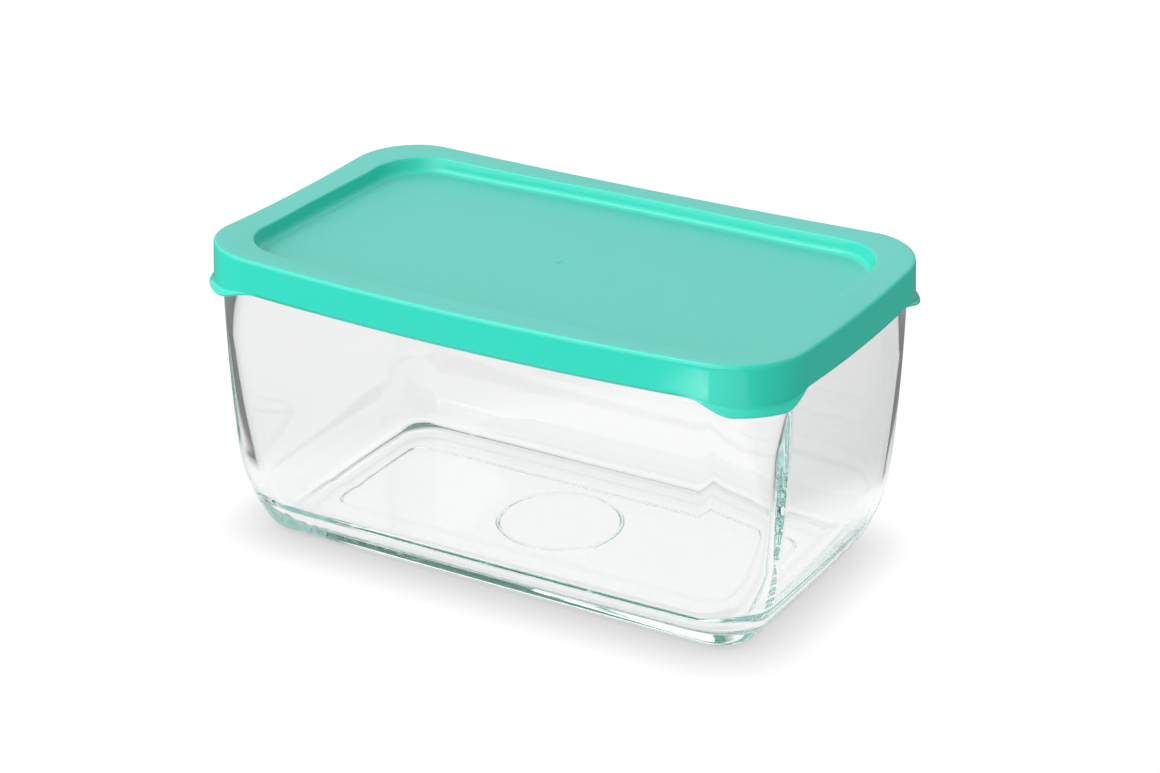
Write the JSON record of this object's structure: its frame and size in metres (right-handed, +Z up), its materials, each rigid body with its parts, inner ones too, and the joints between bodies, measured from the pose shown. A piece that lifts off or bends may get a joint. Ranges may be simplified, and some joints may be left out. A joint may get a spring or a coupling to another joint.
{
  "type": "glass storage container",
  "caption": "Clear rectangular glass food container with tapered walls, round heels and a mint press-fit plastic lid with corner pull tabs.",
  "frame": {"origin": "middle of the glass base, on the surface it stands on", "axes": "+X along the container's length, +Y across its width, +Z up through the lid"},
  "size_m": [0.2018, 0.1196, 0.0967],
  "materials": {
    "glass": "clear pressed soda-lime glass, fire-polished, with a faint green edge",
    "lid_plastic": "opaque mint-green soft plastic, smooth satin skirt and finely textured matte top"
  },
  "bodies": {
    "container": {"glass_container": "glass"},
    "lid": {"lid": "lid_plastic"}
  },
  "joints": [
    {"name": "lid_lift", "type": "slide", "parent": "container", "child": "lid", "axis": [0, 0, 1], "range_m": [0, 0.12]}
  ]
}
